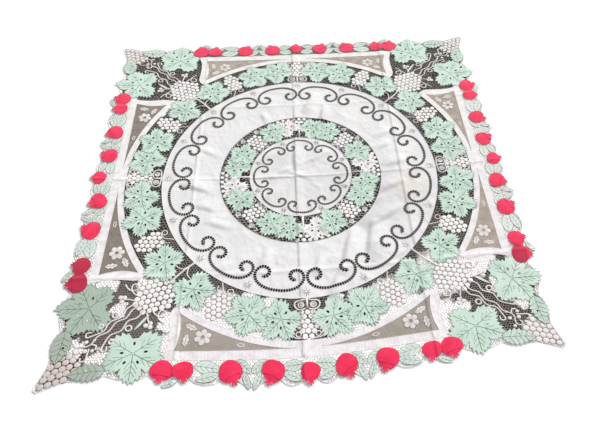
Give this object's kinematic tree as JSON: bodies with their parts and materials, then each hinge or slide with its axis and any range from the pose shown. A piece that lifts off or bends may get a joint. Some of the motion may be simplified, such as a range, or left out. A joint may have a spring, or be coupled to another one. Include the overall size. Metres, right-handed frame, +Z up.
{
  "type": "embroidered linen tablecloth",
  "caption": "Square linen tablecloth laid flat: cutwork of thread bars, green vine leaves, padded grapes, red fruit garlands and taupe net let into the border.",
  "frame": {"origin": "middle of the cloth's box, on the surface that it lies on", "axes": "+Z up out of the cloth, +Y away from the person at the near side, +X to their right"},
  "size_m": [1.3038, 1.3052, 0.0081],
  "materials": {
    "white_linen": "plain-woven off-white linen, faintly lilac in the near strips, with corded scroll openwork",
    "bar_thread": "white buttonhole-stitched bars and padded satin-stitch grapes",
    "taupe_net": "fine taupe net with small white flowers",
    "green_linen": "mint green linen leaves with grey-green veins and edge stitching",
    "deep_green": "grey-green linen leaflets with dark edge stitching",
    "red_linen": "bright red linen fruits with satin-stitched edges, and mint leaf sprays"
  },
  "bodies": {
    "root": {"centre_linen": "white_linen", "ring_linen": "white_linen", "border_linen": "white_linen", "inner_field": "bar_thread", "outer_field": "bar_thread", "net_1": "taupe_net", "net_2": "taupe_net", "net_3": "taupe_net", "net_4": "taupe_net", "net_5": "taupe_net", "net_6": "taupe_net", "net_7": "taupe_net", "net_8": "taupe_net", "inner_leaf_pair_1": "green_linen", "inner_leaf_pair_2": "green_linen", "inner_leaf_pair_3": "green_linen", "inner_leaf_pair_4": "green_linen", "inner_leaf_1": "green_linen", "inner_leaf_2": "green_linen", "inner_leaf_3": "green_linen", "inner_leaf_4": "green_linen", "outer_leaf_pair_1": "green_linen", "outer_leaf_pair_2": "green_linen", "outer_leaf_pair_3": "green_linen", "outer_leaf_pair_4": "green_linen", "outer_leaf_pair_5": "green_linen", "outer_leaf_pair_6": "green_linen", "outer_leaf_pair_7": "green_linen", "outer_leaf_pair_8": "green_linen", "outer_leaf_1": "green_linen", "outer_leaf_2": "green_linen", "outer_leaf_3": "green_linen", "outer_leaf_4": "green_linen", "outer_leaf_5": "green_linen", "outer_leaf_6": "green_linen", "outer_leaf_7": "green_linen", "outer_leaf_8": "green_linen", "corner_leaf_1": "green_linen", "corner_leaf_2": "green_linen", "corner_leaf_3": "green_linen", "corner_leaf_4": "green_linen", "corner_leaf_5": "green_linen", "corner_leaf_6": "green_linen", "corner_leaf_7": "green_linen", "corner_leaf_8": "green_linen", "corner_leaflet_1": "deep_green", "corner_leaflet_2": "deep_green", "corner_leaflet_3": "deep_green", "corner_leaflet_4": "deep_green", "corner_leaflet_5": "deep_green", "corner_leaflet_6": "deep_green", "corner_leaflet_7": "deep_green", "corner_leaflet_8": "deep_green", "garland_far": "red_linen", "garland_right": "red_linen", "garland_near": "red_linen", "garland_left": "red_linen"}
  },
  "joints": []
}
